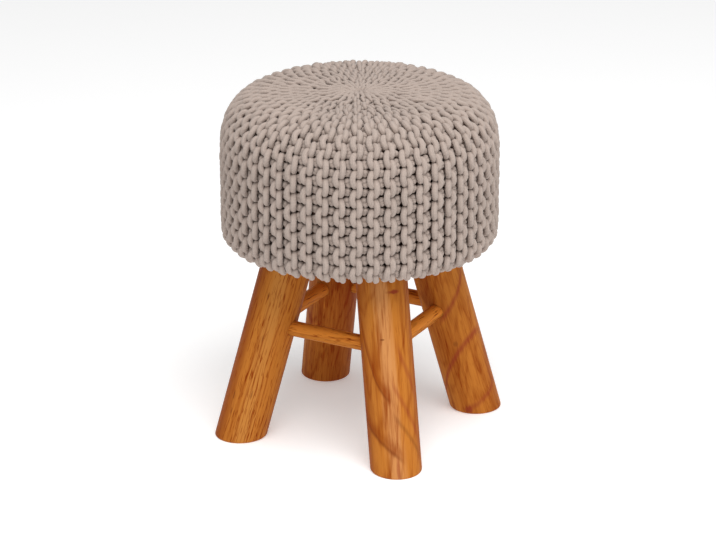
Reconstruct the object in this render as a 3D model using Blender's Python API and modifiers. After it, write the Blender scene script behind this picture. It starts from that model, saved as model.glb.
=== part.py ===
"""A knitted pouf on wooden legs.

The seat is one filled pouf in a thick cord knit: a low drum with a domed top, a round shoulder and a
tighter lower edge. The ridges of the knit start on the top and run down the side. The seat rests on four
splayed round legs, and four dowels join the legs near mid height.

Sizes are in metres and +Z is up. The origin is on the floor, below the middle of the seat, and the legs
stand on the diagonals between X and Y. The front is at -Y.
"""
import math

import bmesh
import bpy
from mathutils import Matrix, Vector

# Seat: the drum and its domed top.
SEAT_RADIUS = 0.160
SEAT_TOP = 0.4115
SEAT_UNDERSIDE = 0.2305
CROWN_RISE = 0.006
SHOULDER_WIDTH = 0.068
SHOULDER_DEPTH = 0.077
SHOULDER_POWER = 3.0
LOWER_EDGE_WIDTH = 0.0165
LOWER_EDGE_DEPTH = 0.0195
LOWER_EDGE_POWER = 2.0

# Ridges of the knit, counted round the seat.
RIDGE_COUNT = 52
RIDGE_DEPTH = 0.0045
RIDGE_SHARPNESS = 1.6
FIRST_RIDGE_TURN = math.radians(-1.0)
RIDGES_START_RADIUS = 0.035
RIDGES_FULL_RADIUS = 0.100
RIDGES_UNDERNEATH_RADIUS = 0.128
STEPS_PER_RIDGE = 4

# Legs: round posts, leaning out from the seat to the floor.
LEG_RADIUS = 0.0295
LEG_SPREAD_AT_FLOOR = 0.145
LEG_SPREAD_AT_SEAT = 0.0804
LEG_SIDES = 40
FOOT_ROUNDING = 0.0025
FOOT_ROUNDING_STEPS = 2

# Stretchers: dowels in blind sockets in the legs.
STRETCHER_RADIUS = 0.009
STRETCHER_HEIGHT = 0.1345
STRETCHER_SIDES = 24
SOCKET_FLOOR_FROM_LEG_AXIS = 0.012

# Clearance between pieces that touch.
FIT_GAP = 0.0003

MERGE_DISTANCE = 0.00001
SMOOTH_ANGLE = math.radians(50)

# Row of the ring of legs: name, and the way it stands from the middle.
LEG_CORNERS = (
    ("front_right", Vector((1, -1, 0)).normalized()),
    ("back_right", Vector((1, 1, 0)).normalized()),
    ("back_left", Vector((-1, 1, 0)).normalized()),
    ("front_left", Vector((-1, -1, 0)).normalized()),
)
# Each stretcher joins the leg in the same place of the list above to the next one.
STRETCHER_SIDES_OF_SEAT = ("right", "back", "left", "front")

COTTON_COLOUR = (0.50, 0.42, 0.37, 1.0)
WOOD_COLOUR = (0.42, 0.15, 0.045, 1.0)


def clear_scene():
    """Remove whatever objects the scene holds."""
    for found in list(bpy.data.objects):
        bpy.data.objects.remove(found, do_unlink=True)


def make_collection(name):
    """A new collection in the scene."""
    collection = bpy.data.collections.new(name)
    bpy.context.scene.collection.children.link(collection)
    return collection


def make_material(name, colour, roughness):
    """A plain Principled finish."""
    material = bpy.data.materials.new(name)
    material.use_nodes = True
    shader = material.node_tree.nodes["Principled BSDF"]
    shader.inputs["Base Color"].default_value = colour
    shader.inputs["Roughness"].default_value = roughness
    shader.inputs["Metallic"].default_value = 0.0
    return material


def add_object(name, mesh, collection, material=None):
    """An object for a mesh, shaded smooth but for its hard edges."""
    piece = bpy.data.objects.new(name, mesh)
    collection.objects.link(piece)
    if material:
        mesh.materials.append(material)
    mesh.shade_smooth()
    mesh.set_sharp_from_angle(angle=SMOOTH_ANGLE)
    return piece


def smooth_step(low, high, value):
    """0 below low, 1 above high, and an even rise between them."""
    share = min(max((value - low) / (high - low), 0.0), 1.0)
    return share * share * (3.0 - 2.0 * share)


def round_corner(steps, power):
    """Pairs that go from (0, 1) to (1, 0) round a corner. A power of 2 makes a circle, more is squarer."""
    pairs = []
    for step in range(steps + 1):
        angle = 0.5 * math.pi * step / steps
        pairs.append((math.sin(angle) ** (2 / power), math.cos(angle) ** (2 / power)))
    return pairs


def crown_height(radius):
    """Height of the domed top at a distance from the middle, before the shoulder falls away."""
    return SEAT_TOP - CROWN_RISE * (radius / SEAT_RADIUS) ** 2


def seat_profile():
    """Points (radius, height) down the seat's outer side, from its top centre to its underside's centre."""
    flat_radius = SEAT_RADIUS - SHOULDER_WIDTH
    points = [(flat_radius * share, crown_height(flat_radius * share)) for share in (0.0, 0.34, 0.6, 0.8)]
    for out, up in round_corner(7, SHOULDER_POWER):
        radius = flat_radius + SHOULDER_WIDTH * out
        points.append((radius, crown_height(radius) - SHOULDER_DEPTH * (1 - up)))
    lower_edge_top = SEAT_UNDERSIDE + LOWER_EDGE_DEPTH
    points.append((SEAT_RADIUS, 0.5 * (points[-1][1] + lower_edge_top)))
    for down, out in round_corner(4, LOWER_EDGE_POWER):
        radius = SEAT_RADIUS - LOWER_EDGE_WIDTH * (1 - out)
        points.append((radius, lower_edge_top - LOWER_EDGE_DEPTH * down))
    points.append((RIDGES_UNDERNEATH_RADIUS, SEAT_UNDERSIDE))
    points.append((0.0, SEAT_UNDERSIDE))
    return points


def ridge_drop(point):
    """How far a point of the seat lies below the crests of the ridges."""
    radius = math.hypot(point.x, point.y)
    if point.z > SEAT_UNDERSIDE + LOWER_EDGE_DEPTH:
        strength = smooth_step(RIDGES_START_RADIUS, RIDGES_FULL_RADIUS, radius)
    else:
        strength = smooth_step(RIDGES_UNDERNEATH_RADIUS, SEAT_RADIUS - LOWER_EDGE_WIDTH, radius)
    turn = math.atan2(point.x, -point.y) - FIRST_RIDGE_TURN
    valley = 0.5 * (1 - math.cos(RIDGE_COUNT * turn))
    return RIDGE_DEPTH * strength * valley ** RIDGE_SHARPNESS


def make_seat(collection, material):
    """The filled pouf: a turned drum with the ridges of its knit raised on it."""
    points = seat_profile()
    outline = bpy.data.meshes.new("seat_outline")
    outline.from_pydata([(radius, 0, height) for radius, height in points],
                        [(index, index + 1) for index in range(len(points) - 1)], [])
    turned = bpy.data.objects.new("seat_outline", outline)
    collection.objects.link(turned)
    steps = RIDGE_COUNT * STEPS_PER_RIDGE
    screw = turned.modifiers.new("turn", "SCREW")
    screw.axis = "Z"
    screw.steps = steps
    screw.render_steps = steps
    screw.use_merge_vertices = True
    screw.merge_threshold = MERGE_DISTANCE
    evaluated = turned.evaluated_get(bpy.context.evaluated_depsgraph_get())
    mesh = bpy.data.meshes.new_from_object(evaluated)
    mesh.name = "knitted_pouf"
    bpy.data.objects.remove(turned)

    # A point of the turned drum lies on a crest once the whole is turned to the first ridge.
    mesh.transform(Matrix.Rotation(FIRST_RIDGE_TURN - 0.5 * math.pi, 4, "Z"))
    normals = [vertex.normal.copy() for vertex in mesh.vertices]
    for vertex, normal in zip(mesh.vertices, normals):
        vertex.co -= normal * ridge_drop(vertex.co)
    return add_object("knitted_pouf", mesh, collection, material)


def leg_spread(height):
    """Distance of a leg's axis from the middle of the stool, at a height."""
    share = height / SEAT_UNDERSIDE
    return LEG_SPREAD_AT_FLOOR + (LEG_SPREAD_AT_SEAT - LEG_SPREAD_AT_FLOOR) * share


def leg_axis_point(corner, height):
    """The point of a leg's axis at a height."""
    return corner * leg_spread(height) + Vector((0, 0, height))


def make_leg(name, corner, collection, material):
    """A leaning round post, cut level at the floor and just under the seat."""
    foot = leg_axis_point(corner, 0.0)
    head = leg_axis_point(corner, SEAT_UNDERSIDE - FIT_GAP)
    lean = (head - foot).normalized()
    shape = bmesh.new()
    bmesh.ops.create_cone(shape, cap_ends=True, segments=LEG_SIDES, radius1=LEG_RADIUS,
                          radius2=LEG_RADIUS, depth=(head - foot).length)
    turn = Vector((0, 0, 1)).rotation_difference(lean).to_matrix().to_4x4()
    bmesh.ops.transform(shape, matrix=Matrix.Translation((foot + head) / 2) @ turn, verts=shape.verts)
    # The ends slide along the post until they are level.
    for vertex in shape.verts:
        level = head.z if vertex.co.z > head.z / 2 else foot.z
        vertex.co += lean * ((level - vertex.co.z) / lean.z)
    mesh = bpy.data.meshes.new(name)
    shape.to_mesh(mesh)
    shape.free()
    leg = add_object(name, mesh, collection, material)
    rounding = leg.modifiers.new("soft_ends", "BEVEL")
    rounding.width = FOOT_ROUNDING
    rounding.segments = FOOT_ROUNDING_STEPS
    rounding.limit_method = "ANGLE"
    rounding.angle_limit = SMOOTH_ANGLE
    return leg


def make_rod(name, start, end, radius, collection, material=None):
    """A straight round rod with flat ends."""
    shape = bmesh.new()
    bmesh.ops.create_cone(shape, cap_ends=True, segments=STRETCHER_SIDES, radius1=radius,
                          radius2=radius, depth=(end - start).length)
    turn = (end - start).to_track_quat("Z", "Y").to_matrix().to_4x4()
    bmesh.ops.transform(shape, matrix=Matrix.Translation((start + end) / 2) @ turn, verts=shape.verts)
    mesh = bpy.data.meshes.new(name)
    shape.to_mesh(mesh)
    shape.free()
    return add_object(name, mesh, collection, material)


def make_stretcher(side, corner, next_corner, collection, cutters, material):
    """A dowel between two legs, and the longer, wider rod that cuts its two sockets."""
    start = leg_axis_point(corner, STRETCHER_HEIGHT)
    end = leg_axis_point(next_corner, STRETCHER_HEIGHT)
    along = (end - start).normalized()
    socket_start = start + along * SOCKET_FLOOR_FROM_LEG_AXIS
    socket_end = end - along * SOCKET_FLOOR_FROM_LEG_AXIS
    make_rod("stretcher_" + side, socket_start + along * FIT_GAP, socket_end - along * FIT_GAP,
             STRETCHER_RADIUS, collection, material)
    cutter = make_rod("sockets_" + side, socket_start, socket_end, STRETCHER_RADIUS + FIT_GAP, cutters)
    cutter.hide_render = True
    cutter.display_type = "WIRE"
    return cutter


def cut_socket(leg, cutter):
    """Cut one end of a stretcher's sockets out of a leg."""
    cut = leg.modifiers.new(cutter.name, "BOOLEAN")
    cut.operation = "DIFFERENCE"
    cut.solver = "EXACT"
    cut.object = cutter


def main():
    clear_scene()
    collection = make_collection("knitted_pouf_on_legs")
    cutters = make_collection("cutters")
    cotton = make_material("cotton_cord", COTTON_COLOUR, 0.9)
    wood = make_material("varnished_wood", WOOD_COLOUR, 0.3)

    make_seat(collection, cotton)
    legs = []
    for name, corner in LEG_CORNERS:
        legs.append(make_leg("leg_" + name, corner, collection, wood))
    for index, side in enumerate(STRETCHER_SIDES_OF_SEAT):
        following = (index + 1) % len(legs)
        cutter = make_stretcher(side, LEG_CORNERS[index][1], LEG_CORNERS[following][1],
                                collection, cutters, wood)
        cut_socket(legs[index], cutter)
        cut_socket(legs[following], cutter)


main()
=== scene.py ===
"""Looks of a knitted pouf on wooden legs. It is laid out as a Blender add-on and is run as a script.

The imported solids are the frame. Over them come a filled body, a cover knitted from thick cotton cord stitch
by stitch, four varnished posts and four dowels. Sizes are in metres, +Z is up and the front is at -Y.
"""

import math

import bpy
import numpy as np
from bpy.props import FloatProperty, FloatVectorProperty, IntProperty, PointerProperty
from bpy.types import Operator, Panel, PropertyGroup
from mathutils import Matrix, Vector


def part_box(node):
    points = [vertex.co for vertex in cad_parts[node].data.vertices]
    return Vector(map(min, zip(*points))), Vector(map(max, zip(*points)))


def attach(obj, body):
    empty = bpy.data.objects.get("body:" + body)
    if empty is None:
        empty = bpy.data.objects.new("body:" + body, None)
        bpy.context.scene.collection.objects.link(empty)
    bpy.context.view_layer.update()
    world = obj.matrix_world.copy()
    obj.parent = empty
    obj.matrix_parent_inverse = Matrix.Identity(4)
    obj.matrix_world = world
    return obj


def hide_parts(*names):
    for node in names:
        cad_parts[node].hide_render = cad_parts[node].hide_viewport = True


bl_info = {
    "name": "Knitted Pouf on Legs",
    "version": (1, 0, 0),
    "blender": (4, 5, 0),
    "location": "3D View > Sidebar > Pouf",
    "description": "Builds a knitted pouf on wooden legs over its packed solids",
    "category": "Add Mesh",
}

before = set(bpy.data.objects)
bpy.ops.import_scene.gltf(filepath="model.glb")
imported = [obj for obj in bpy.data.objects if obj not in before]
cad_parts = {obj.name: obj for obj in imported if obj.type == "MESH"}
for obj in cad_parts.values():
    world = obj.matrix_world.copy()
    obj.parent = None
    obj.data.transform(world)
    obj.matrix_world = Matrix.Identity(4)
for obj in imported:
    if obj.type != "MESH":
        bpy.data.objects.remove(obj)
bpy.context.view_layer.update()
SEAT_LOW, SEAT_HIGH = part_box("knitted_pouf")

# The way each leg stands from the middle of the seat.
LEG_CORNERS = {
    "leg_front_right": Vector((1, -1, 0)).normalized(),
    "leg_back_right": Vector((1, 1, 0)).normalized(),
    "leg_back_left": Vector((-1, 1, 0)).normalized(),
    "leg_front_left": Vector((-1, -1, 0)).normalized(),
}
# The two legs that each dowel joins.
STRETCHER_ENDS = {
    "stretcher_right": ("leg_front_right", "leg_back_right"),
    "stretcher_back": ("leg_back_right", "leg_back_left"),
    "stretcher_left": ("leg_back_left", "leg_front_left"),
    "stretcher_front": ("leg_front_left", "leg_front_right"),
}

# One stitch of a knit course and of a purl course, from the middle of its upper loop to the next one's. Each
# point is the distance down the ridge in quarter stitches, the distance across in courses, and the height in
# metres. A knit course has its upper loop in front, and a purl course its lower one.
KNIT_STITCH = (
    (0.00, 1.06, 0.0062),
    (1.05, 0.85, 0.0060),
    (1.72, 0.63, 0.0012),
    (1.00, 0.05, -0.0070),
    (0.36, -0.38, 0.0054),
    (0.62, -0.85, -0.0112),
    (2.00, -0.93, -0.0060),
    (3.10, -0.85, -0.0112),
    (3.04, -0.40, 0.0054),
    (2.95, 0.05, -0.0070),
    (2.28, 0.63, 0.0010),
    (2.95, 0.85, 0.0058),
)
PURL_STITCH = (
    (0.00, 0.93, -0.0060),
    (1.10, 0.90, -0.0064),
    (1.58, 0.60, 0.0054),
    (0.84, 0.05, -0.0085),
    (0.30, -0.62, 0.0004),
    (0.97, -0.76, 0.0052),
    (2.00, -0.90, 0.0062),
    (3.03, -0.76, 0.0062),
    (3.74, -0.62, 0.0010),
    (3.16, 0.05, -0.0085),
    (2.34, 0.60, 0.0054),
    (2.90, 0.90, -0.0064),
)
# Height of the front loops above the mid layer.
LOOP_HEIGHT = 0.0058
# On the top the knit is stretched: its loops keep this share of their height there and reach this many times
# as far across. Each pair is the distances down between which this ends.
TOP_FULLNESS = 0.50
FULLNESS_ENDS = (0.080, 0.120)
TOP_SPREAD = 1.08
TOP_ENDS = (0.150, 0.178)
# How far the loops stray down the ridge and in height, and how many times as far they stray on the top down,
# across and in height. The stray is drawn once for this many points, and runs evenly in between.
STRAY_DOWN = 0.0007
STRAY_HEIGHT = 0.00035
TOP_STRAY = (3.5, 2.0, 2.5)
STRAY_SPACING = 6
# Width of a ridge at which the cord has its full diameter, and the least share of it in narrower ridges.
FULL_CORD_WIDTH = 0.0145
THINNEST_CORD = 0.60
COURSES_PER_RIDGE = 2
RIDGES_PER_GROUP = 4
# Distance down at which each ridge of a group starts, how much sooner or later that is in some groups, and
# the distance over which it widens from a closed ridge. An open ridge counts as 1 wide.
RIDGE_STARTS = (0.002, 0.036, 0.014, 0.056)
START_STRAY = (0.0, 0.007, 0.003, 0.009)
RIDGE_WIDENING = (0.006, 0.022, 0.014, 0.026)
CLOSED_RIDGE = 0.02
# A ridge that starts over a stitch from the middle starts this deep, and rises out over this distance.
START_DEPTH = 0.007
START_RISE = 0.020
# How far a course may reach back past its start and on past the last turn. The turn itself reaches this far
# past it, between two places across in courses.
START_OVERLAP = 0.003
END_OVERLAP = 0.0005
TURN_REACH = 0.0045
TURN_SIDES = (0.10, 0.90)
# The ends of a ridge's cord: their step back, their places across in courses, and each end's two heights.
TAIL_BACK = 0.002
TAIL_SIDES = (0.35, 0.65)
TAIL_HEIGHTS = (-0.007, -0.012)
# Seeds of the ridges' starts and of the first ridge's stray.
START_SEED = 77
RIDGE_SEED = 1000
# Spacing of the places at which the seat's surface is kept, and how many of them its slope is smoothed over.
SURFACE_STEP = 0.0005
SURFACE_SMOOTHING = 17
# A way that no cord starts along. The first ring of each cord is turned by it.
RING_START = (0.3, 0.5, 0.8)
QUARTER_NAMES = ("front_right", "back_right", "back_left", "front_left")

# Distances down at which the filled body's outline has a point, and the sides of its round.
FILLING_STATIONS = np.concatenate([np.linspace(0.0, 0.09, 10), np.linspace(0.10, 0.335, 56)])
FILLING_SIDES = 144
# The rim of the plain cloth underneath: how far its fold starts outside the board, and the fold's points as
# distances outwards from the board's radius and heights above the underside.
FOLD_WIDTH = 0.004
FOLD = ((0.0006, 0.004), (0.0, 0.0012), (-0.0012, 0.0))
# Share of the board's radius at which the flat cloth has a ring of points.
BOARD_RING = 0.6
MERGE_DISTANCE = 0.00005
FILLING_CREASE = math.radians(40)

# How much longer a post is at each end before it is sawn level, its sides, and the cuts of its long edges.
SAW_SPARE = 0.03
POST_SIDES = 96
POST_CUTS = 30
DOWEL_SIDES = 48
DOWEL_ROUNDING = 0.0008
WOOD_CREASE = math.radians(32)
LEVEL_TOLERANCE = 1e-6

FLOOR_RADIUS = 9.0
FLOOR_SIDES = 96
# Each light's turn from the camera's side and rise above the floor, in degrees, its distance and its width.
# Its power is the stage's setting of the same name. The lights face LIGHT_AIM.
LIGHTS = {
    "key_light": dict(turn=10, rise=64, away=2.6, size=2.0),
    "side_light": dict(turn=62, rise=25, away=2.2, size=0.8),
}
LIGHT_AIM = Vector((0, 0, 0.25))
SENSOR_WIDTH = 36.0
VIEW_REACH = 50.0


# ---- Settings


def number(name, description, default, **kind):
    """A number that a user can set."""
    return FloatProperty(name=name, description=description, default=default, **kind)


def metres(name, description, default):
    """A length that a user can set."""
    return number(name, description, default, unit="LENGTH")


def paint(name, description, red, green, blue):
    """A colour that a user can set."""
    return FloatVectorProperty(name=name, description=description, subtype="COLOR", size=4,
                               default=(red, green, blue, 1.0))


class PoufSeatSettings(PropertyGroup):
    """Sizes of the seat over the ridges of its knit."""

    radius: metres("Radius", "Radius of the seat", round(SEAT_HIGH.x, 4))
    top: metres("Top", "Height of the middle of the seat's top", round(SEAT_HIGH.z, 4))
    underside: metres("Underside", "Height of the seat's underside", round(SEAT_LOW.z, 4))
    crown_rise: metres("Crown Rise", "Rise of the domed top", 0.006)
    shoulder_width: metres("Shoulder Width", "Width of the rounded upper edge", 0.068)
    shoulder_depth: metres("Shoulder Depth", "Height of the rounded upper edge", 0.077)
    shoulder_power: number("Shoulder Fullness", "2 makes a round shoulder, more a squarer one", 3.0)
    lower_edge_width: metres("Lower Edge Width", "Width of the drawn-in lower edge", 0.0140)
    lower_edge_depth: metres("Lower Edge Depth", "Height of the drawn-in lower edge", 0.0175)
    board_radius: metres("Board Radius", "Radius of the plain cloth underneath", 0.113)
    filling_depth: metres("Filling Depth", "Depth of the filled body below the ridges", 0.0163)
    # Painted shade: the filling is painted dark so that it reads as the shade in the knit's gaps.
    filling_painted_shade_colour: paint("Filling Colour", "Cloth of the filled body", 0.125, 0.056, 0.032)


class PoufKnitSettings(PropertyGroup):
    """Sizes and colours of the knitted cover."""

    ridges: IntProperty(name="Ridges", description="Ridges of the knit round the seat", default=52)
    first_ridge_turn: number("First Ridge", "Turn of the first ridge", math.radians(-0.6), subtype="ANGLE")
    stitch_length: metres("Stitch Length", "Length of a stitch down the ridge", 0.0228)
    first_stitch: metres("First Stitch", "Distance of the first front loop from the top's middle", 0.0065)
    last_turn: metres("Last Turn", "Distance down the ridge at which the cord turns back", 0.3428)
    cord_diameter: metres("Cord Diameter", "Diameter of the cotton cord", 0.0071)
    cord_sides: IntProperty(name="Cord Sides", description="Sides of the cord's mesh", default=10)
    points_per_step: IntProperty(name="Cord Points", description="Cord points per control point", default=2)
    unevenness: number("Unevenness", "How far the loops stray across, in courses", 0.07)
    colour: paint("Cord Colour", "Colour of the cotton cord", 0.425, 0.344, 0.299)
    # Painted shade: the colour the cord is painted deep in the knit, where its gaps fall into shade.
    painted_shade_colour: paint("Deep Cord Colour", "Colour of the cord deep in the knit", 0.135, 0.064, 0.038)


class PoufWoodSettings(PropertyGroup):
    """Sizes and colours of the legs and dowels."""

    leg_radius: metres("Leg Radius", "Radius of a post", 0.0295)
    spread_at_floor: metres("Spread at Floor", "From the middle to a post's axis, at the floor", 0.145)
    spread_at_seat: metres("Spread at Seat", "From the middle to a post's axis, at the seat", 0.0804)
    foot_rounding: metres("Foot Rounding", "Softening of the foot's edge", 0.0022)
    dowel_radius: metres("Dowel Radius", "Radius of a dowel", 0.009)
    dowel_height: metres("Dowel Height", "Height of the dowels' axes", 0.1345)
    socket_floor: metres("Socket Floor", "Distance of a socket's floor from the post's axis", 0.012)
    gap: metres("Gap", "Clearance between pieces that touch", 0.0003)
    light_colour: paint("Light Wood", "Wood between the darker streaks", 0.505, 0.174, 0.026)
    # Dark Wood is the grain's own darker colour, and is also used as painted shade at the front legs' edges
    # and on the back left leg.
    dark_colour: paint("Dark Wood", "Darker streaks and pores", 0.235, 0.036, 0.001)
    # Golden Wood paints a highlight down the front left leg's side that faces the camera.
    gold_colour: paint("Golden Wood", "Golden stripes", 0.530, 0.210, 0.042)
    # Pale Wood paints a highlight down the front right leg's side that faces the camera.
    pale_colour: paint("Pale Wood", "Pale stripes", 0.620, 0.280, 0.100)
    # Orange Wood paints light on the dowels' upper sides.
    orange_colour: paint("Orange Wood", "Bright orange stripes", 0.800, 0.265, 0.036)
    red_colour: paint("Red Wood", "Reddish veins and marks", 0.270, 0.042, 0.016)
    vein_colour: paint("Vein", "Dark curved veins", 0.130, 0.028, 0.007)


class PoufStageSettings(PropertyGroup):
    """The camera, the floor and the studio light."""

    azimuth: number("Azimuth", "Way round the seat to the camera", math.radians(28.27), subtype="ANGLE")
    elevation: number("Elevation", "Rise of the camera above the floor", math.radians(21.40), subtype="ANGLE")
    distance: metres("Distance", "Distance of the camera", 3.4348)
    aim_height: metres("Aim Height", "Height that the camera looks at", 0.18907)
    aim_aside: metres("Aim Aside", "How far right of the middle the camera looks", -0.001834)
    lens: number("Lens", "Focal length of the camera", 148.79, unit="CAMERA")
    floor_colour: paint("Floor Colour", "Colour of the floor", 0.90, 0.90, 0.90)
    floor_glow: number("Floor Glow", "Light that the floor gives by itself", 0.30)
    room_light: number("Room Light", "Strength of the light from all round", 0.46)
    key_light: number("Key Light", "Power of the large soft light", 66.0, unit="POWER")
    side_light: number("Side Light", "Power of the small light at the side", 4.0, unit="POWER")


# ---- Finishes


class Channel:
    """A shader value that takes part in sums. Each sum adds a Math node."""

    def __init__(self, recipe, socket):
        self.recipe = recipe
        self.socket = socket

    def __add__(self, other):
        return self.recipe.maths("ADD", self, other)

    def __sub__(self, other):
        return self.recipe.maths("SUBTRACT", self, other)

    def __rsub__(self, other):
        return self.recipe.maths("SUBTRACT", other, self)

    def __mul__(self, other):
        return self.recipe.maths("MULTIPLY", self, other)

    def __truediv__(self, other):
        return self.recipe.maths("DIVIDE", self, other)

    def __rtruediv__(self, other):
        return self.recipe.maths("DIVIDE", other, self)

    __radd__ = __add__
    __rmul__ = __mul__


class Recipe:
    """A node material while it is put together."""

    def __init__(self, name):
        self.material = bpy.data.materials.new(name)
        self.material.use_nodes = True
        self.tree = self.material.node_tree
        self.shader = self.tree.nodes["Principled BSDF"]

    def node(self, kind, settings=None, inputs=None, output=0):
        """Add a node: its settings first, then the values or links of its sockets. Gives one output."""
        made = self.tree.nodes.new("ShaderNode" + kind)
        for key, value in (settings or {}).items():
            setattr(made, key, value)
        for key, value in (inputs or {}).items():
            self.feed(made.inputs[key], value)
        return Channel(self, made.outputs[output])

    def feed(self, socket, value):
        """Link a socket to a channel, or set its value."""
        if isinstance(value, Channel):
            self.tree.links.new(value.socket, socket)
        else:
            socket.default_value = value

    def place(self):
        """A place in the object's own frame."""
        return self.node("TexCoord", output="Object")

    def maths(self, operation, first, second=0.0, clamp=False):
        settings = {"operation": operation, "use_clamp": clamp}
        return self.node("Math", settings, {0: first, 1: second})

    def rise(self, value, low, high):
        """0 below low, 1 above high, and a soft rise between them."""
        settings = {"interpolation_type": "SMOOTHSTEP"}
        return self.node("MapRange", settings, {"Value": value, "From Min": low, "From Max": high})

    def noise(self, place, scale, detail=2.0, roughness=0.5):
        inputs = {"Vector": place, "Scale": scale, "Detail": detail, "Roughness": roughness}
        return self.node("TexNoise", None, inputs)

    def vector_maths(self, operation, place, other):
        return self.node("VectorMath", {"operation": operation}, {0: place, 1: other})

    def part(self, place, axis):
        """One of the three parts of a place."""
        return self.node("SeparateXYZ", None, {0: place}, output=axis)

    def mix(self, factor, first, second):
        """A colour between two colours."""
        return self.node("Mix", {"data_type": "RGBA"}, {0: factor, 6: first, 7: second}, output=2)

    def cover(self, colour, over, mask, strength=1.0):
        """A colour with another one over it where a mask shows."""
        return self.mix(self.maths("MULTIPLY", mask, strength, clamp=True), colour, over)

    def bump(self, height, distance, strength=1.0):
        return self.node("Bump", None, {"Height": height, "Distance": distance, "Strength": strength})

    def finish(self, **inputs):
        """Set the Principled shader's sockets, whose names have underscores for spaces."""
        for key, value in inputs.items():
            self.feed(self.shader.inputs[key.replace("_", " ")], value)
        return self.material


def toned(colour, factor):
    """A colour made darker or paler by a factor."""
    return tuple(min(1.0, factor * part) for part in tuple(colour)[:3]) + (1.0,)


# The cord is a fine knitted tube: rows of stitches round it, stitches along it for each length of its
# circumference, and how far they lean from row to row.
CORD_ROWS = 12.0
CORD_STITCHES = 8.0
CORD_LEAN = 0.55
# Depths, as shares of the layer's, between which the cord goes from its painted shade colour to its own
# colour.
PAINTED_SHADE_DEPTHS = (-0.42, 0.30)
# Scales of the noises on the cloths.
FIBRE_SCALE = 700.0
CORD_TONE_SCALE = 24.0
CLOTH_TONE_SCALE = 60.0
FLOOR_TONE_SCALE = 3.0
# Turn of the filling cloth's weave for each metre, in radians.
WEAVE_TURN = 4200.0


def cotton_cord_finish(knit):
    """Soft matt cotton cord with V stitches, with painted shade that darkens it deeper in the knit, so the
    crests of the loops are paler.
    """
    recipe = Recipe("cotton_cord")
    cord = recipe.node("UVMap", {"uv_map": "cord"})
    along = recipe.part(cord, 0)
    around = recipe.part(cord, 1)
    row = recipe.maths("PINGPONG", around * CORD_ROWS, 1.0)
    chevron = recipe.maths("SINE", (along * CORD_STITCHES + row * CORD_LEAN) * math.tau)
    groove = recipe.rise(row, 0.0, 0.35) * (chevron * 0.35 + 0.65)
    place = recipe.place()
    fibres = recipe.noise(place, FIBRE_SCALE, 3.0, 0.65)
    tone = recipe.noise(place, CORD_TONE_SCALE)
    # Painted shade: the deeper the cord lies in the knit, the more it takes the painted shade colour and the
    # less its stitch texture shows.
    depth = recipe.node("Attribute", {"attribute_name": "depth"}, output="Fac")
    painted_light_share = recipe.rise(depth, *PAINTED_SHADE_DEPTHS)
    colour = recipe.mix(painted_light_share, tuple(knit.painted_shade_colour), tuple(knit.colour))
    texture = (1.0 - groove) * 0.55 + (fibres - 0.5) * 2.2 + (tone - 0.5) * 0.9
    colour = recipe.cover(colour, toned(knit.colour, 0.80), texture, painted_light_share)
    relief = groove * 0.7 + fibres * 0.5
    return recipe.finish(Base_Color=colour, Roughness=0.92, Sheen_Weight=0.12, Sheen_Roughness=0.6,
                         Specular_IOR_Level=0.2, Normal=recipe.bump(relief, 0.00045, 0.7))


def filling_finish(seat):
    """Plain-woven cloth round the filling, painted dark as painted shade so the gaps in the knit look deep.
    """
    recipe = Recipe("filling_cloth")
    place = recipe.place()
    across = recipe.maths("SINE", recipe.part(place, 0) * WEAVE_TURN)
    down = recipe.maths("SINE", recipe.part(place, 1) * WEAVE_TURN)
    weave = across * down
    tone = recipe.noise(place, CLOTH_TONE_SCALE, 3.0)
    colour = tuple(seat.filling_painted_shade_colour)
    colour = recipe.cover(colour, toned(colour, 1.7), weave * 0.25 + tone, 0.8)
    return recipe.finish(Base_Color=colour, Roughness=0.9, Normal=recipe.bump(weave, 0.0002, 0.6))


# The noises of the wood, for its fibres, streaks, figure and pores: the share of its scale that each one has
# along the grain, its scale, its detail and its roughness.
WOOD_NOISES = (
    (0.035, FIBRE_SCALE, 3.0, 0.6),
    (0.04, 240.0, 4.0, 0.6),
    (0.20, 52.0, 2.0, 0.5),
    (0.09, 780.0, 1.0, 0.5),
)
# Values of their noise between which pores show, and of a ring's phase between which its dark line does.
PORE_EDGES = (0.57, 0.68)
LINE_EDGES = (0.55, 0.98)
# How ragged the streaks make the edges of stripes, in radians, of veins, in metres, and of marks, as a share
# of their size, and the turns over which a vein fades in and out.
STRIPE_RAGGED = 0.5
VEIN_RAGGED = 0.006
MARK_RAGGED = 1.4
VEIN_FADES = (0.3, 0.5)
# The tints of stripes, veins and marks, each a colour among the wood's settings.
TINTS = ("gold", "pale", "dark", "orange", "red", "vein")


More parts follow.
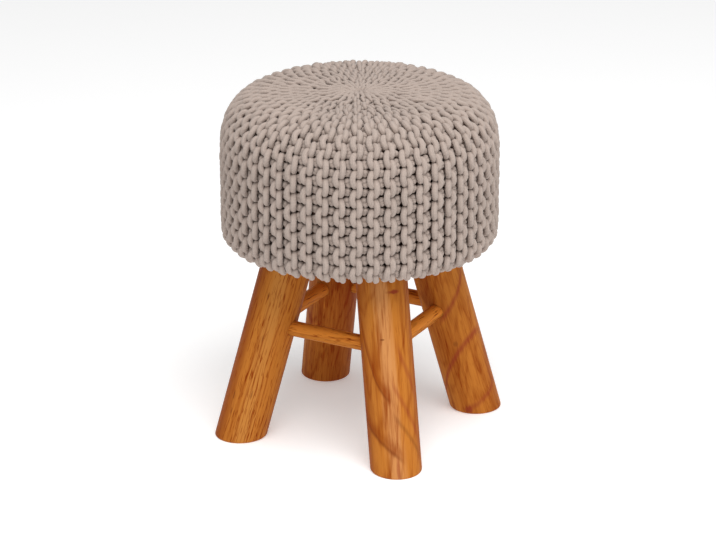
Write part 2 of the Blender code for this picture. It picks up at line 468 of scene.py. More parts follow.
def wood_finish(name, wood, radius, ends, across, grain):
    """Varnished orange-brown wood with its grain from end to end. grain holds the piece's own figures, and
    stripes and a tone that paint highlights, light and shade on some pieces.
    """
    recipe = Recipe(name)
    axis = (ends[1] - ends[0]).normalized()
    side = (across - axis * across.dot(axis)).normalized()
    rotation = Matrix((side, axis.cross(side), axis)).transposed().to_euler()
    inputs = {"Vector": recipe.place(), "Location": tuple(ends[0]), "Rotation": tuple(rotation)}
    place = recipe.node("Mapping", {"vector_type": "TEXTURE"}, inputs)
    x, y, z = [recipe.part(place, index) for index in range(3)]
    around = recipe.maths("ARCTAN2", x, 0.0 - y)
    offset = (grain["seed"], 0.37 * grain["seed"], 0.11 * grain["seed"])
    seeded = recipe.vector_maths("ADD", place, offset)
    noises = []
    for drawn_out, scale, detail, roughness in WOOD_NOISES:
        drawn = recipe.vector_maths("MULTIPLY", seeded, (1.0, 1.0, drawn_out))
        noises.append(recipe.noise(drawn, scale, detail, roughness))
    fibres, streaks, figure, pores = noises
    pores = recipe.rise(pores, *PORE_EDGES)
    pith_x = x - grain["pith"][0]
    pith_y = y - grain["pith"][1]
    away = recipe.maths("SQRT", pith_x * pith_x + pith_y * pith_y)
    rings = (away + z * grain["lean"] + (figure - 0.5) * grain["wander"]) / grain["ring"]
    phase = recipe.maths("PINGPONG", rings, 1.0)
    line = recipe.rise(phase, *LINE_EDGES)
    # A high tone darkens the whole piece; on the back left leg this is painted shade.
    dark = (line * grain["line"] + pores * grain["pores"] + (figure - 0.5) * grain["figure"]
            + (streaks - 0.5) * grain["streaks"] + (fibres - 0.5) * 0.75 + grain["tone"])
    tints = {tint: tuple(getattr(wood, tint + "_colour")) for tint in TINTS}
    colour = tuple(wood.light_colour)
    # Stripes round the piece: besides real colour, they paint highlights down the side facing the camera,
    # shade at the legs' edges and light on the dowels' tops.
    for tint, turn, slope, half_width, strength in grain["stripes"]:
        off = recipe.maths("ABSOLUTE", around - (z * slope + turn)) + (streaks - 0.5) * STRIPE_RAGGED
        mask = 1.0 - recipe.rise(off, 0.2 * half_width, half_width)
        colour = recipe.mix(mask * strength, colour, tints[tint])
    colour = recipe.cover(colour, tints["dark"], dark)
    for tint, first, last, level, tilt, bend, half_width, strength in grain["veins"]:
        middle = around * (around * bend + tilt) + level
        off = recipe.maths("ABSOLUTE", z - middle + (streaks - 0.5) * VEIN_RAGGED)
        reach = half_width * math.hypot(1.0, tilt / radius)
        mask = (1.0 - recipe.rise(off, 0.0, reach)) * recipe.rise(around, first, first + VEIN_FADES[0])
        mask = mask * (1.0 - recipe.rise(around, last - VEIN_FADES[1], last)) * (fibres * 0.9 + 0.55)
        colour = recipe.cover(colour, tints[tint], mask, strength)
    for tint, turn, level, half_width, half_height, strength in grain["marks"]:
        aside = (around - turn) * (radius / half_width)
        above = (z - level) / half_height
        off = recipe.maths("SQRT", aside * aside + above * above) + (streaks - 0.5) * MARK_RAGGED
        mask = 1.0 - recipe.rise(off, 0.3, 1.0)
        colour = recipe.cover(colour, tints[tint], mask, strength)
    relief = fibres * 0.4 - pores * 0.6 - line * 0.2
    return recipe.finish(Base_Color=colour, Roughness=0.42 + fibres * 0.12, Specular_IOR_Level=0.03,
                         Coat_Weight=0.02, Coat_Roughness=0.25, Normal=recipe.bump(relief, 0.0002, 0.5))


# ---- Modelling helpers


def deselect_all():
    bpy.ops.object.select_all(action="DESELECT")


def make_active(piece):
    """Select one object alone."""
    deselect_all()
    piece.select_set(True)
    bpy.context.view_layer.objects.active = piece


def edit_selected(piece, kind, wanted):
    """Go into edit mode with only those vertices or edges selected that pass a test."""
    make_active(piece)
    bpy.ops.object.mode_set(mode="EDIT")
    bpy.ops.mesh.select_mode(type=kind)
    bpy.ops.mesh.select_all(action="DESELECT")
    bpy.ops.object.mode_set(mode="OBJECT")
    items = piece.data.vertices if kind == "VERT" else piece.data.edges
    for item in items:
        item.select = wanted(item)
    bpy.ops.object.mode_set(mode="EDIT")


def add_round_rod(name, start, end, radius, sides):
    """A round rod between two points."""
    deselect_all()
    along = end - start
    bpy.ops.mesh.primitive_cylinder_add(vertices=sides, radius=radius, depth=along.length,
                                        end_fill_type="NGON", location=(start + end) / 2,
                                        rotation=along.to_track_quat("Z", "Y").to_euler())
    rod = bpy.context.object
    rod.name = name
    rod.data.name = name
    bpy.ops.object.transform_apply(location=True, rotation=True, scale=True)
    return rod


def cut_into_lengths(piece, least, cuts):
    """Divide the edges that are longer than given, so that holes spoil the shading only near them."""

    def is_long(edge):
        start, end = [piece.data.vertices[index].co for index in edge.vertices]
        return (end - start).length > least

    edit_selected(piece, "EDGE", is_long)
    bpy.ops.mesh.subdivide(number_cuts=cuts)
    bpy.ops.object.mode_set(mode="OBJECT")


def cut_level(piece, height, keep_above):
    """Saw a piece off level at a height."""
    make_active(piece)
    bpy.ops.object.mode_set(mode="EDIT")
    bpy.ops.mesh.select_mode(type="VERT")
    bpy.ops.mesh.select_all(action="SELECT")
    bpy.ops.mesh.bisect(plane_co=(0, 0, height), plane_no=(0, 0, 1), use_fill=True,
                        clear_inner=keep_above, clear_outer=not keep_above)
    bpy.ops.object.mode_set(mode="OBJECT")


def bevel_rim(piece, wanted, width, segments):
    """Round the edges between the vertices whose places pass a test."""
    edit_selected(piece, "VERT", lambda vertex: wanted(vertex.co))
    bpy.ops.mesh.select_mode(type="EDGE")
    bpy.ops.mesh.bevel(offset=width, segments=segments, affect="EDGES")
    bpy.ops.object.mode_set(mode="OBJECT")


def hand_over(piece, node, material):
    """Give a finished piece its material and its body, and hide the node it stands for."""
    piece.data.materials.clear()
    piece.data.materials.append(material)
    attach(piece, "root")
    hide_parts(node)
    deselect_all()


# ---- The seat's shape and its knit


def smooth_step(low, high, value):
    """0 below low, 1 above high, and a soft rise between them."""
    share = np.clip((value - low) / (high - low), 0.0, 1.0)
    return share * share * (3.0 - 2.0 * share)


def seat_outline(seat, steps=160):
    """Points (radius, height) over the ridges, from the top's middle to the underside's middle."""
    flat_radius = seat.radius - seat.shoulder_width

    def crown(radius):
        return seat.top - seat.crown_rise * (radius / seat.radius) ** 2

    flat = np.linspace(0.0, flat_radius, steps)[:-1]
    points = [np.column_stack([flat, crown(flat)])]
    angle = np.linspace(0.0, math.pi / 2, steps)
    radius = flat_radius + seat.shoulder_width * np.sin(angle) ** (2 / seat.shoulder_power)
    drop = seat.shoulder_depth * (1 - np.cos(angle) ** (2 / seat.shoulder_power))
    points.append(np.column_stack([radius, crown(radius) - drop]))
    edge_top = seat.underside + seat.lower_edge_depth
    radius = seat.radius - seat.lower_edge_width * (1 - np.cos(angle))
    height = edge_top - seat.lower_edge_depth * np.sin(angle)
    points.append(np.column_stack([radius, height]))
    radius = np.linspace(radius[-1], 0.0, steps)[1:]
    points.append(np.column_stack([radius, np.full(len(radius), seat.underside)]))
    return np.concatenate(points)


class KnitSurface:
    """The mid layer of the knit: it gives a place for a distance down, a course and a height."""

    def __init__(self, seat, knit, layer_depth):
        outline = seat_outline(seat)
        length = np.concatenate([[0.0], np.cumsum(np.hypot(*np.diff(outline, axis=0).T))])
        self.down = np.arange(0.0, length[-1], SURFACE_STEP)
        radius = np.interp(self.down, length, outline[:, 0])
        height = np.interp(self.down, length, outline[:, 1])
        window = np.hanning(SURFACE_SMOOTHING)
        window /= window.sum()
        slope = []
        for values in (radius, height):
            steps = np.pad(np.gradient(values, self.down), SURFACE_SMOOTHING // 2, mode="edge")
            slope.append(np.convolve(steps, window, mode="valid"))
        size = np.hypot(*slope)
        self.out_radius = -slope[1] / size
        self.out_height = slope[0] / size
        self.radius = radius - layer_depth * self.out_radius
        self.height = height - layer_depth * self.out_height
        self.groups = knit.ridges // RIDGES_PER_GROUP
        self.first_turn = knit.first_ridge_turn
        random = np.random.default_rng(START_SEED)
        early_or_late = random.uniform(-1, 1, (self.groups, RIDGES_PER_GROUP)) * START_STRAY
        self.starts = np.array(RIDGE_STARTS) + early_or_late

    def shares(self, down, group):
        """The part of its group's width that each ridge of a group takes, for each distance down."""
        starts = self.starts[group % self.groups]
        width = CLOSED_RIDGE + smooth_step(starts, starts + RIDGE_WIDENING, np.asarray(down)[..., None])
        return width / width.sum(-1, keepdims=True)

    def turn(self, down, course):
        """The turn round the seat of a course, counted from the first ridge, for each distance down."""
        place = (course + 0.5) / COURSES_PER_RIDGE
        group = np.floor(place / RIDGES_PER_GROUP).astype(int)
        shares = self.shares(down, group)
        edges = np.concatenate([np.zeros(shares.shape[:-1] + (1,)), np.cumsum(shares, -1)], -1)
        inside = place - group * RIDGES_PER_GROUP
        ridge = np.clip(np.floor(inside).astype(int), 0, RIDGES_PER_GROUP - 1)
        low = np.take_along_axis(edges, ridge[..., None], -1)[..., 0]
        share = np.take_along_axis(shares, ridge[..., None], -1)[..., 0]
        whole = group + low + share * (inside - ridge)
        half_ridge = 0.5 / RIDGES_PER_GROUP
        return self.first_turn - (whole - half_ridge) * math.tau / self.groups

    def ridge_width(self, down, ridge):
        """Width of a ridge in metres, for each distance down."""
        share = self.shares(down, ridge // RIDGES_PER_GROUP)[..., ridge % RIDGES_PER_GROUP]
        return share * math.tau / self.groups * np.interp(down, self.down, self.radius)

    def place(self, down, course, height):
        """The points for distances down, courses and heights above the mid layer, and the ways outwards."""
        turn = self.turn(down, course)
        out = np.interp(down, self.down, self.out_radius)
        up = np.interp(down, self.down, self.out_height)
        radius = np.interp(down, self.down, self.radius) + height * out
        level = np.interp(down, self.down, self.height) + height * up
        outward = np.stack([out * np.sin(turn), -out * np.cos(turn), up], -1)
        return np.stack([radius * np.sin(turn), -radius * np.cos(turn), level], -1), outward


def course_points(knit, start, stitch):
    """The control points of one course, from its start to the last turn: distance down, across and height."""
    stitch = np.array(stitch) * (knit.stitch_length / 4, 1, 1)
    count = math.ceil((knit.last_turn - knit.first_stitch) / knit.stitch_length) + 1
    points = np.concatenate([stitch + (index * knit.stitch_length, 0, 0) for index in range(-1, count)])
    points[:, 0] += knit.first_stitch
    # What a loop reaches back past the start, or on past the last turn, is cut off.
    kept = (points[:, 0] > start - START_OVERLAP) & (points[:, 0] < knit.last_turn + END_OVERLAP)
    points = points[kept]
    return points[np.argmax(points[:, 0] > start):]


def ridge_line(surface, knit, ridge, random):
    """The cord of one ridge: down one course, round a turn underneath and back up the next course."""
    start = surface.starts[divmod(ridge, RIDGES_PER_GROUP)]
    knit_course = course_points(knit, start, KNIT_STITCH)
    purl_course = course_points(knit, start, PURL_STITCH)[::-1]
    knit_course = stray(knit_course, knit, random)
    purl_course = stray(purl_course, knit, random)
    for course in (knit_course, purl_course):
        course[:, 1] *= TOP_SPREAD + (1 - TOP_SPREAD) * smooth_step(*TOP_ENDS, course[:, 0])
    purl_course[:, 1] += 1.0
    bend = np.array([(knit.last_turn + TURN_REACH, side, 0.0) for side in TURN_SIDES])
    tails = []
    for point, side in zip((knit_course[0], purl_course[-1]), TAIL_SIDES):
        tails.append(np.array([(point[0] - TAIL_BACK, side, height) for height in TAIL_HEIGHTS]))
    line = np.concatenate([tails[0][::-1], knit_course, bend, purl_course, tails[1]])
    # On the top the loops lie flatter, at the height of the front ones.
    fullness = TOP_FULLNESS + (1 - TOP_FULLNESS) * smooth_step(*FULLNESS_ENDS, line[:, 0])
    line[:, 2] = line[:, 2] * fullness + (1 - fullness) * LOOP_HEIGHT
    # A ridge that starts away from the middle rises out of the knit there.
    depth = START_DEPTH if start > knit.stitch_length else 0.0
    line[:, 2] -= depth * (1 - smooth_step(start, start + START_RISE, line[:, 0]))
    line[:, 1] += COURSES_PER_RIDGE * ridge
    return line


def stray(points, knit, random):
    """Move the loops of a course a little out of their places, and farther on the top."""
    steps = np.arange(len(points))
    knots = np.arange(0, len(points) + 2 * STRAY_SPACING, STRAY_SPACING)
    side = smooth_step(*TOP_ENDS, points[:, 0])
    points = points.copy()
    for axis, reach in enumerate((STRAY_DOWN, knit.unevenness, STRAY_HEIGHT)):
        aside = np.interp(steps, knots, random.uniform(-reach, reach, len(knots)))
        points[:, axis] += aside * (TOP_STRAY[axis] + (1 - TOP_STRAY[axis]) * side)
    return points


def smooth_line(points, per_step):
    """Points of the cubic B-spline through control points."""
    share = (np.arange(per_step) / per_step)[:, None]
    weights = np.concatenate([(1 - share) ** 3, 3 * share ** 3 - 6 * share ** 2 + 4,
                              -3 * share ** 3 + 3 * share ** 2 + 3 * share + 1, share ** 3], 1) / 6
    windows = np.stack([points[index:len(points) - 3 + index] for index in range(4)], 1)
    return np.einsum("pw,nwc->npc", weights, windows).reshape(-1, points.shape[1])


def sweep_cord(centres, radii, sides):
    """The vertices, quads and running length of a round cord along a line."""
    ahead = np.gradient(centres, axis=0)
    ahead /= np.linalg.norm(ahead, axis=1, keepdims=True)
    side = np.cross(ahead[0], RING_START)
    sides_of_line = np.empty_like(centres)
    for index, direction in enumerate(ahead):
        side = side - direction * side.dot(direction)
        side /= math.sqrt(side.dot(side))
        sides_of_line[index] = side
    other = np.cross(ahead, sides_of_line)
    angle = np.arange(sides) * math.tau / sides
    ring = sides_of_line[:, None] * np.cos(angle)[:, None] + other[:, None] * np.sin(angle)[:, None]
    vertices = centres[:, None] + ring * radii[:, None, None]
    here = np.arange((len(centres) - 1) * sides)
    following = np.where(here % sides == sides - 1, here - sides + 1, here + 1)
    quads = np.column_stack([here, following, following + sides, here + sides])
    length = np.concatenate([[0.0], np.cumsum(np.linalg.norm(np.diff(centres, axis=0), axis=1))])
    return vertices.reshape(-1, 3), quads, length


def ridge_cord(surface, knit, ridge, layer_depth):
    """The vertices, quads, UV places and depths of the cord of one ridge."""
    sides = knit.cord_sides
    random = np.random.default_rng(RIDGE_SEED + ridge)
    line = smooth_line(ridge_line(surface, knit, ridge, random), knit.points_per_step)
    centres, outward = surface.place(line[:, 0], line[:, 1], line[:, 2])
    width = surface.ridge_width(line[:, 0], ridge)
    squeeze = np.clip(width / FULL_CORD_WIDTH, THINNEST_CORD, 1.0)
    points, quads, length = sweep_cord(centres, 0.5 * knit.cord_diameter * squeeze, sides)
    along = length[quads // sides] / (math.pi * knit.cord_diameter)
    around = quads % sides / sides
    # The last quad round the cord ends at 1 and not at 0.
    around[:, 1:3] += quads[:, 1:3] % sides == 0
    # These depths drive the painted shade in the cord's colour.
    above_line = np.einsum("psk,pk->ps", points.reshape(-1, sides, 3) - centres[:, None], outward)
    depths = (line[:, 2, None] + above_line) / layer_depth
    return points, quads, np.stack([along, around], -1).reshape(-1, 2), depths.ravel()


def knit_mesh(name, surface, knit, ridges, layer_depth):
    """One piece of the cords of several ridges, with the cord's own UV map and its depth in the knit."""
    vertices, quads, maps, depths, caps = [], [], [], [], []
    total = 0
    sides = knit.cord_sides
    for ridge in ridges:
        cord = ridge_cord(surface, knit, ridge, layer_depth)
        vertices.append(cord[0])
        quads.append(cord[1] + total)
        maps.append(cord[2])
        depths.append(cord[3])
        caps.append(np.arange(sides)[::-1] + total)
        total += len(cord[0])
        caps.append(np.arange(total - sides, total))
    quads = np.concatenate(quads)
    mesh = bpy.data.meshes.new(name)
    loops = np.concatenate([quads.ravel()] + caps)
    sizes = np.concatenate([np.full(len(quads), 4), np.full(len(caps), sides)])
    mesh.vertices.add(total)
    mesh.vertices.foreach_set("co", np.concatenate(vertices).astype(np.float32).ravel())
    mesh.loops.add(len(loops))
    mesh.loops.foreach_set("vertex_index", loops.astype(np.int32))
    mesh.polygons.add(len(sizes))
    mesh.polygons.foreach_set("loop_start", np.concatenate([[0], np.cumsum(sizes)[:-1]]).astype(np.int32))
    mesh.update(calc_edges=True)
    mesh.shade_smooth()
    uv = mesh.uv_layers.new(name="cord")
    cap_uv = np.zeros((len(loops) - quads.size, 2))
    uv.data.foreach_set("uv", np.concatenate(maps + [cap_uv]).astype(np.float32).ravel())
    # The depth attribute drives the painted shade in the cord's colour.
    depth = mesh.attributes.new("depth", "FLOAT", "POINT")
    depth.data.foreach_set("value", np.concatenate(depths).astype(np.float32))
    piece = bpy.data.objects.new(name, mesh)
    bpy.context.scene.collection.objects.link(piece)
    return piece


# ---- Operators


class OBJECT_OT_pouf_filling(Operator):
    """Add the filled body that the knitted cover is drawn over"""

    bl_idname = "object.pouf_filling"
    bl_label = "Filled Body"

    def execute(self, context):
        seat = context.scene.pouf_seat
        surface = KnitSurface(seat, context.scene.pouf_knit, seat.filling_depth)
        radii = np.interp(FILLING_STATIONS, surface.down, surface.radius)
        heights = np.interp(FILLING_STATIONS, surface.down, surface.height)
        radii[0] = 0.0
        rim = seat.board_radius
        floor = seat.underside
        outline = [point for point in zip(radii, heights) if point[1] > floor or point[0] > rim]
        outline.append((rim + FOLD_WIDTH, floor + seat.filling_depth))
        outline += [(rim + outwards, floor + up) for outwards, up in FOLD]
        outline += [(BOARD_RING * rim, floor), (0.0, floor)]
        mesh = bpy.data.meshes.new("filled_body")
        mesh.from_pydata([(radius, 0, height) for radius, height in outline],
                         [(index, index + 1) for index in range(len(outline) - 1)], [])
        body = bpy.data.objects.new("filled_body", mesh)
        context.scene.collection.objects.link(body)
        make_active(body)
        bpy.ops.object.mode_set(mode="EDIT")
        bpy.ops.mesh.select_all(action="SELECT")
        bpy.ops.mesh.spin(steps=FILLING_SIDES, angle=math.tau, center=(0, 0, 0), axis=(0, 0, 1))
        bpy.ops.mesh.select_all(action="SELECT")
        bpy.ops.mesh.remove_doubles(threshold=MERGE_DISTANCE)
        bpy.ops.mesh.normals_make_consistent(inside=False)
        bpy.ops.object.mode_set(mode="OBJECT")
        bpy.ops.object.shade_smooth_by_angle(angle=FILLING_CREASE)
        hand_over(body, "knitted_pouf", filling_finish(seat))
        return {"FINISHED"}


class OBJECT_OT_pouf_knit(Operator):
    """Knit the cover from thick cotton cord, in four quarters of its ridges"""

    bl_idname = "object.pouf_knit"
    bl_label = "Knitted Cover"

    def execute(self, context):
        seat = context.scene.pouf_seat
        knit = context.scene.pouf_knit
        if knit.ridges % RIDGES_PER_GROUP:
            raise ValueError("the ridges come in groups of four")
        layer_depth = LOOP_HEIGHT + 0.5 * knit.cord_diameter
        surface = KnitSurface(seat, knit, layer_depth)
        material = cotton_cord_finish(knit)
        # Ridges are counted backwards round the seat, from the front.
        shares = np.array_split(np.arange(knit.ridges)[::-1], len(QUARTER_NAMES))
        for quarter, ridges in zip(QUARTER_NAMES, shares):
            cover = knit_mesh("knitted_cover_" + quarter, surface, knit, ridges, layer_depth)
            hand_over(cover, "knitted_pouf", material)
        return {"FINISHED"}


def leg_axis_point(wood, underside, corner, height):
    """The point of a post's axis at a height."""
    share = height / underside
    spread = wood.spread_at_floor + (wood.spread_at_seat - wood.spread_at_floor) * share
    return corner * spread + Vector((0, 0, height))


def socket_ends(wood, underside, node):
    """The two socket floors that a dowel reaches between."""
    corners = [LEG_CORNERS[leg] for leg in STRETCHER_ENDS[node]]
    start, end = [leg_axis_point(wood, underside, corner, wood.dowel_height) for corner in corners]
    along = (end - start).normalized()
    return start + along * wood.socket_floor, end - along * wood.socket_floor


# The way across the legs, which puts a turn of 0 on the side that faces the camera, and across the dowels.
LEGS_ACROSS = Vector((0.881, 0.474, 0.0))
DOWELS_ACROSS = Vector((0.0, 0.0, 1.0))
# The figure of the wood of each piece, with painted highlights and painted shade among its stripes. pith is
# where its growth rings are centred, lean and wander bend them and ring is their spacing. The next five are
# how strong its parts are. A stripe is its tint, turn round the piece, slope, half width and strength. A vein
# is its tint, first and last turn, height at turn 0, rise for each turn and for its square, half width and
# strength. A mark is its tint, turn, height, half its width, half its height and strength. Turns are in
# radians.
LEG_GRAIN = {
    "leg_front_right": dict(
        seed=1.3, pith=(0.060, 0.030), lean=0.16, wander=0.030, ring=0.0060,
        line=0.30, pores=0.20, figure=1.5, streaks=1.5, tone=0.16,
        # The pale stripe is a painted highlight down the side facing the camera, and the two dark stripes are
        # painted shade at the leg's edges.
        stripes=[("pale", 0.05, -0.6, 0.45, 0.75), ("dark", -1.40, 0.0, 0.70, 0.60),
                 ("dark", 1.45, 0.0, 0.55, 0.45)],
        veins=[("vein", -1.35, 0.15, 0.0831, -0.0146, 0.0534, 0.0042, 0.60),
               ("dark", -1.35, 0.25, 0.0891, -0.0146, 0.0534, 0.0130, 0.60),
               ("vein", -1.50, 0.45, 0.0210, -0.0279, 0.0019, 0.0036, 0.55),
               ("dark", -1.50, 0.55, 0.0270, -0.0279, 0.0019, 0.0110, 0.55),
               ("vein", -0.05, 1.40, 0.0680, -0.0424, 0.0, 0.0040, 0.35),
               ("red", 0.25, 1.40, 0.1691, -0.0714, 0.0, 0.0048, 0.50),
               ("red", -0.05, 1.45, 0.1064, -0.0583, 0.0, 0.0045, 0.45)],
        marks=[("red", 0.43, 0.2060, 0.0100, 0.0032, 0.95), ("vein", -0.16, 0.1530, 0.0036, 0.0013, 0.65),
               ("red", 0.09, 0.0020, 0.0026, 0.0180, 0.55)]),
    "leg_front_left": dict(
        seed=4.1, pith=(0.150, 0.020), lean=0.03, wander=0.012, ring=0.0023,
        line=0.44, pores=0.72, figure=1.0, streaks=2.1, tone=-0.08,
        # The gold stripe is a painted highlight down the side facing the camera, and the two dark stripes are
        # painted shade at the leg's edges.
        stripes=[("gold", 0.02, -0.7, 0.50, 0.95), ("dark", -1.30, 0.0, 0.80, 0.70),
                 ("dark", 1.45, 0.0, 0.50, 0.35)],
        veins=[],
        marks=[("vein", -0.43, 0.1795, 0.0013, 0.0070, 0.60), ("vein", -0.20, 0.1285, 0.0013, 0.0080, 0.60),
               ("vein", -0.76, 0.0515, 0.0013, 0.0070, 0.60), ("vein", -0.05, 0.0595, 0.0013, 0.0070, 0.55),
               ("vein", -0.69, 0.0325, 0.0013, 0.0070, 0.60)]),
    "leg_back_right": dict(
        seed=7.7, pith=(0.050, -0.060), lean=0.30, wander=0.050, ring=0.0080,
        line=0.25, pores=0.30, figure=1.6, streaks=1.2, tone=0.25,
        stripes=[],
        veins=[("red", -0.50, 1.50, 0.1428, 0.0270, 0.0057, 0.0055, 0.70),
               ("red", -1.40, 1.45, 0.0885, 0.0293, -0.0135, 0.0055, 0.75),
               ("red", -0.50, 1.50, 0.0144, 0.0079, 0.0038, 0.0060, 0.55)],
        marks=[("red", -0.22, 0.0100, 0.0070, 0.0070, 0.85), ("vein", -0.01, 0.1000, 0.0044, 0.0050, 0.40)]),
    "leg_back_left": dict(
        seed=9.2, pith=(0.060, 0.060), lean=0.12, wander=0.030, ring=0.0050,
        # Its high tone is painted shade from the seat above it.
        line=0.30, pores=0.35, figure=1.3, streaks=1.5, tone=0.46,
        stripes=[("red", 0.90, 0.0, 1.00, 0.30)], veins=[], marks=[]),
}
# The dowels' orange stripe is painted light on their upper sides, which leaves their undersides darker.
DOWEL_GRAIN = dict(seed=2.0, pith=(0.030, 0.020), lean=0.04, wander=0.010, ring=0.0030,
                   line=0.45, pores=0.80, figure=1.2, streaks=2.0, tone=-0.22,
                   stripes=[("orange", 0.5 * math.pi, 0.0, 2.60, 1.0)], veins=[], marks=[])
DOWEL_SEED_STEP = 1.7


class OBJECT_OT_pouf_legs(Operator):
    """Turn the four posts, saw them level and bore their sockets"""

    bl_idname = "object.pouf_legs"
    bl_label = "Legs"

    def execute(self, context):
        wood = context.scene.pouf_wood
        underside = context.scene.pouf_seat.underside
        for name, corner in LEG_CORNERS.items():
            foot = leg_axis_point(wood, underside, corner, 0.0)
            head = leg_axis_point(wood, underside, corner, underside - wood.gap)
            spare = (head - foot).normalized() * SAW_SPARE
            post = add_round_rod(name + "_post", foot - spare, head + spare, wood.leg_radius, POST_SIDES)
            cut_level(post, 0.0, keep_above=True)
            cut_level(post, head.z, keep_above=False)
            bevel_rim(post, lambda co: abs(co.z) < LEVEL_TOLERANCE, wood.foot_rounding, 4)
            bevel_rim(post, lambda co: abs(co.z - head.z) < LEVEL_TOLERANCE, 0.5 * wood.foot_rounding, 2)
            cut_into_lengths(post, 0.5 * head.z, POST_CUTS)
            for node, ends in STRETCHER_ENDS.items():
                if name in ends:
                    self.bore(post, wood, *socket_ends(wood, underside, node))
            make_active(post)
            bpy.ops.object.shade_smooth_by_angle(angle=WOOD_CREASE)
            finish = wood_finish(name, wood, wood.leg_radius, (foot, head), LEGS_ACROSS, LEG_GRAIN[name])
            hand_over(post, name, finish)
        return {"FINISHED"}

    def bore(self, post, wood, start, end):
        """Bore the blind hole at one end of a dowel."""
        drill = add_round_rod("drill", start, end, wood.dowel_radius + wood.gap, DOWEL_SIDES)
        make_active(post)
        cut = post.modifiers.new("socket", "BOOLEAN")
        cut.operation = "DIFFERENCE"
        cut.solver = "EXACT"
        cut.object = drill
        bpy.ops.object.modifier_apply(modifier=cut.name)
        bpy.data.objects.remove(drill)


class OBJECT_OT_pouf_dowels(Operator):
    """Fit the four dowels into the posts"""

    bl_idname = "object.pouf_dowels"
    bl_label = "Dowels"

    def execute(self, context):
        wood = context.scene.pouf_wood
        underside = context.scene.pouf_seat.underside
        for index, node in enumerate(STRETCHER_ENDS):
            start, end = socket_ends(wood, underside, node)
            along = (end - start).normalized() * wood.gap
            ends = (start + along, end - along)
            dowel = add_round_rod(node + "_dowel", *ends, wood.dowel_radius, DOWEL_SIDES)
            bevel_rim(dowel, lambda co: min((co - point).length for point in ends) < wood.dowel_radius * 1.01,
                      DOWEL_ROUNDING, 2)
            make_active(dowel)
            bpy.ops.object.shade_smooth_by_angle(angle=WOOD_CREASE)
            grain = dict(DOWEL_GRAIN, seed=DOWEL_GRAIN["seed"] + DOWEL_SEED_STEP * index)
            finish = wood_finish(node, wood, wood.dowel_radius, (start, end), DOWELS_ACROSS, grain)
            hand_over(dowel, node, finish)
        return {"FINISHED"}


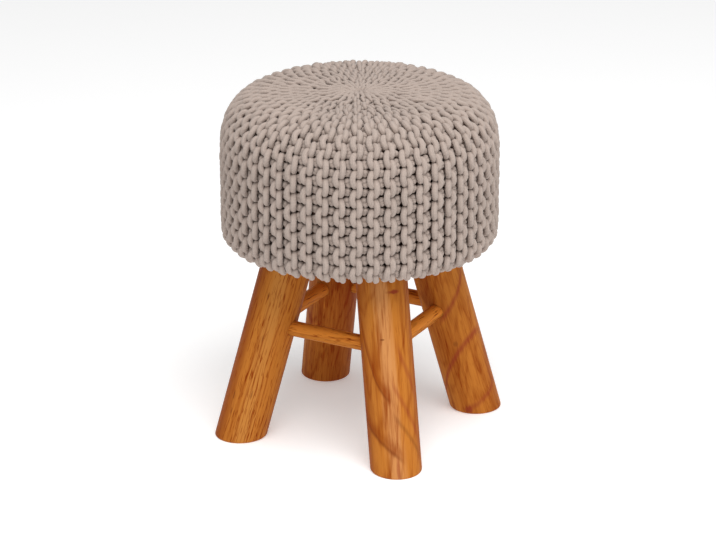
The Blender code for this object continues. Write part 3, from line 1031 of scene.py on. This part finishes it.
class OBJECT_OT_pouf_stage(Operator):
    """Set up the floor, the soft studio light and the camera"""

    bl_idname = "object.pouf_stage"
    bl_label = "Stage"

    def execute(self, context):
        stage = context.scene.pouf_stage
        context.scene.view_settings.view_transform = "Standard"
        self.add_floor(stage)
        self.light_room(context, stage)
        for name, light in LIGHTS.items():
            self.add_light(name, stage, power=getattr(stage, name), **light)
        self.add_camera(context, stage)
        return {"FINISHED"}

    def add_floor(self, stage):
        deselect_all()
        bpy.ops.mesh.primitive_circle_add(vertices=FLOOR_SIDES, radius=FLOOR_RADIUS, fill_type="NGON")
        floor = bpy.context.object
        floor.name = "floor"
        recipe = Recipe("pale_floor")
        pale = tuple(stage.floor_colour)
        tone = recipe.noise(recipe.place(), FLOOR_TONE_SCALE)
        material = recipe.finish(Base_Color=recipe.mix(tone, toned(pale, 0.985), pale), Roughness=0.85,
                                 Specular_IOR_Level=0.1, Emission_Color=pale,
                                 Emission_Strength=stage.floor_glow)
        floor.data.materials.append(material)

    def light_room(self, context, stage):
        world = bpy.data.worlds.new("studio")
        world.use_nodes = True
        background = world.node_tree.nodes["Background"]
        background.inputs["Color"].default_value = (1.0, 1.0, 1.0, 1.0)
        background.inputs["Strength"].default_value = stage.room_light
        context.scene.world = world

    def direction(self, turn, rise):
        """The way outwards at a turn from the front and a rise above the floor."""
        return Vector((math.sin(turn) * math.cos(rise), -math.cos(turn) * math.cos(rise), math.sin(rise)))

    def add_light(self, name, stage, turn, rise, away, size, power):
        """A square light that faces the pouf."""
        way = self.direction(stage.azimuth + math.radians(turn), math.radians(rise))
        bpy.ops.object.light_add(type="AREA", location=LIGHT_AIM + way * away,
                                 rotation=way.to_track_quat("Z", "Y").to_euler())
        light = bpy.context.object
        light.name = name
        light.data.size = size
        light.data.energy = power

    def add_camera(self, context, stage):
        right = Vector((math.cos(stage.azimuth), math.sin(stage.azimuth), 0))
        aim = right * stage.aim_aside + Vector((0, 0, stage.aim_height))
        way = self.direction(stage.azimuth, stage.elevation)
        bpy.ops.object.camera_add(location=aim + way * stage.distance,
                                  rotation=way.to_track_quat("Z", "Y").to_euler())
        camera = bpy.context.object
        camera.name = "camera"
        camera.data.sensor_width = SENSOR_WIDTH
        camera.data.lens = stage.lens
        camera.data.clip_end = VIEW_REACH
        context.scene.camera = camera


class VIEW3D_PT_pouf(Panel):
    """Lists the sizes, the colours and the pieces of the pouf"""

    bl_label = "Knitted Pouf on Legs"
    bl_idname = "VIEW3D_PT_pouf"
    bl_space_type = "VIEW_3D"
    bl_region_type = "UI"
    bl_category = "Pouf"

    def draw(self, context):
        for name, _, operators in GROUPS:
            box = self.layout.box()
            settings = getattr(context.scene, name)
            for key in settings.bl_rna.properties.keys():
                if key not in ("rna_type", "name"):
                    box.prop(settings, key)
            for operator in operators:
                box.operator(operator.bl_idname)


# The name of each group of settings in the scene, its class, and the operators that use it.
GROUPS = (
    ("pouf_seat", PoufSeatSettings, (OBJECT_OT_pouf_filling,)),
    ("pouf_knit", PoufKnitSettings, (OBJECT_OT_pouf_knit,)),
    ("pouf_wood", PoufWoodSettings, (OBJECT_OT_pouf_legs, OBJECT_OT_pouf_dowels)),
    ("pouf_stage", PoufStageSettings, (OBJECT_OT_pouf_stage,)),
)
CLASSES = [item for _, settings, operators in GROUPS for item in (settings, *operators)] + [VIEW3D_PT_pouf]


def register():
    for item in CLASSES:
        bpy.utils.register_class(item)
    for name, settings, _ in GROUPS:
        setattr(bpy.types.Scene, name, PointerProperty(type=settings))


def unregister():
    for name, _, _ in GROUPS:
        delattr(bpy.types.Scene, name)
    for item in reversed(CLASSES):
        bpy.utils.unregister_class(item)


def main():
    register()
    bpy.ops.object.pouf_stage()
    bpy.ops.object.pouf_filling()
    bpy.ops.object.pouf_knit()
    bpy.ops.object.pouf_legs()
    bpy.ops.object.pouf_dowels()


if __name__ == "__main__":
    main()
